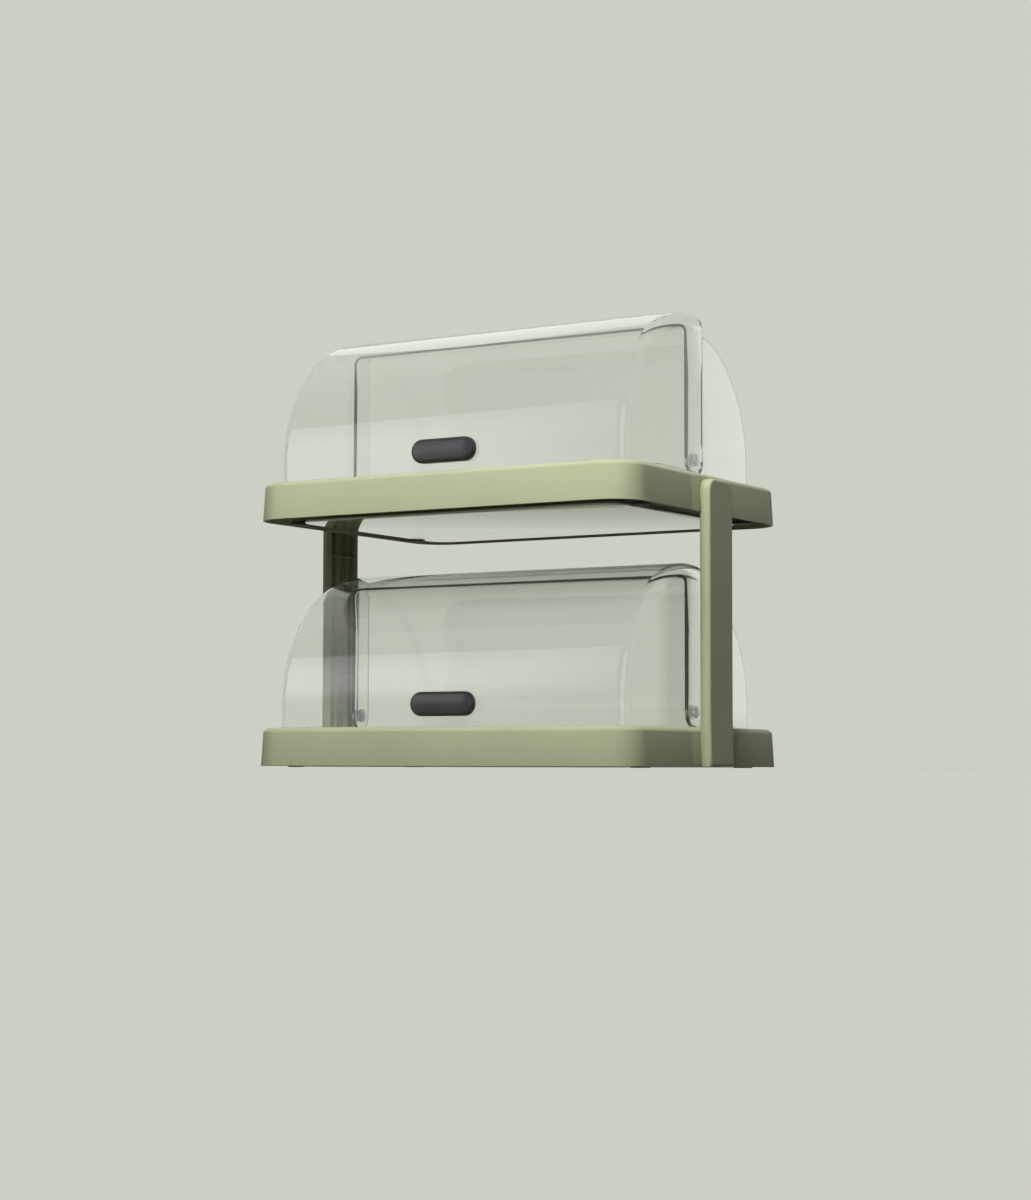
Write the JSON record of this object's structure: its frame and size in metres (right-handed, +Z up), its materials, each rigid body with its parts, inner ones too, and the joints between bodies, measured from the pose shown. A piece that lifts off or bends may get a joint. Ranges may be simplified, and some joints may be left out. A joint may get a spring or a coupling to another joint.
{
  "type": "roll-top chilled food display",
  "caption": "Chilled food display: moulded bases with cold packs under a steel tray, one above the other on posts, each with a clear cover whose front half rolls back.",
  "frame": {"origin": "on the floor, at the middle of the bounding box", "axes": "+X to the right along the width, the handles towards -Y, +Z up"},
  "size_m": [0.4692, 0.34, 0.4547],
  "materials": {
    "sage_plastic": "satin moulded plastic, sage green",
    "smooth_sage_plastic": "smooth glossy plastic, sage green",
    "clear_plastic": "clear moulded acrylic",
    "pin_plastic": "clear turned acrylic",
    "grip_plastic": "satin anthracite plastic",
    "pack_plastic": "blue blow-moulded plastic",
    "tray_steel": "brushed stainless steel",
    "screw_steel": "plain zinc-plated steel",
    "foot_rubber": "matt black rubber"
  },
  "bodies": {
    "stand": {"lower_base_frame": "sage_plastic", "lower_bottom_panel": "smooth_sage_plastic", "lower_foot_front_left": "foot_rubber", "lower_foot_front_right": "foot_rubber", "lower_foot_back_left": "foot_rubber", "lower_foot_back_right": "foot_rubber", "lower_cold_pack_right": "pack_plastic", "lower_cold_pack_left": "pack_plastic", "lower_serving_tray": "tray_steel", "lower_back_shell": "clear_plastic", "lower_pivot_pin_right": "pin_plastic", "lower_pivot_pin_left": "pin_plastic", "lower_post_screw_right_front": "screw_steel", "lower_post_screw_right_back": "screw_steel", "lower_post_screw_left_front": "screw_steel", "lower_post_screw_left_back": "screw_steel", "upper_base_frame": "sage_plastic", "upper_bottom_panel": "smooth_sage_plastic", "upper_foot_front_left": "foot_rubber", "upper_foot_front_right": "foot_rubber", "upper_foot_back_left": "foot_rubber", "upper_foot_back_right": "foot_rubber", "upper_cold_pack_right": "pack_plastic", "upper_cold_pack_left": "pack_plastic", "upper_serving_tray": "tray_steel", "upper_back_shell": "clear_plastic", "upper_pivot_pin_right": "pin_plastic", "upper_pivot_pin_left": "pin_plastic", "upper_post_screw_right_front": "screw_steel", "upper_post_screw_right_back": "screw_steel", "upper_post_screw_left_front": "screw_steel", "upper_post_screw_left_back": "screw_steel", "right_post": "sage_plastic", "left_post": "sage_plastic"},
    "lower_front_cover": {"lower_front_shell": "clear_plastic", "lower_handle": "grip_plastic", "lower_handle_screw_left": "screw_steel", "lower_handle_screw_right": "screw_steel"},
    "upper_front_cover": {"upper_front_shell": "clear_plastic", "upper_handle": "grip_plastic", "upper_handle_screw_left": "screw_steel", "upper_handle_screw_right": "screw_steel"}
  },
  "joints": [
    {"name": "lower_front_cover_roll", "type": "hinge", "parent": "stand", "child": "lower_front_cover", "pos_m": [0, 0, 0.055], "axis": [-1, 0, 0], "range_deg": [0, 85]},
    {"name": "upper_front_cover_roll", "type": "hinge", "parent": "stand", "child": "upper_front_cover", "pos_m": [0, 0, 0.3062], "axis": [-1, 0, 0], "range_deg": [0, 85]}
  ]
}
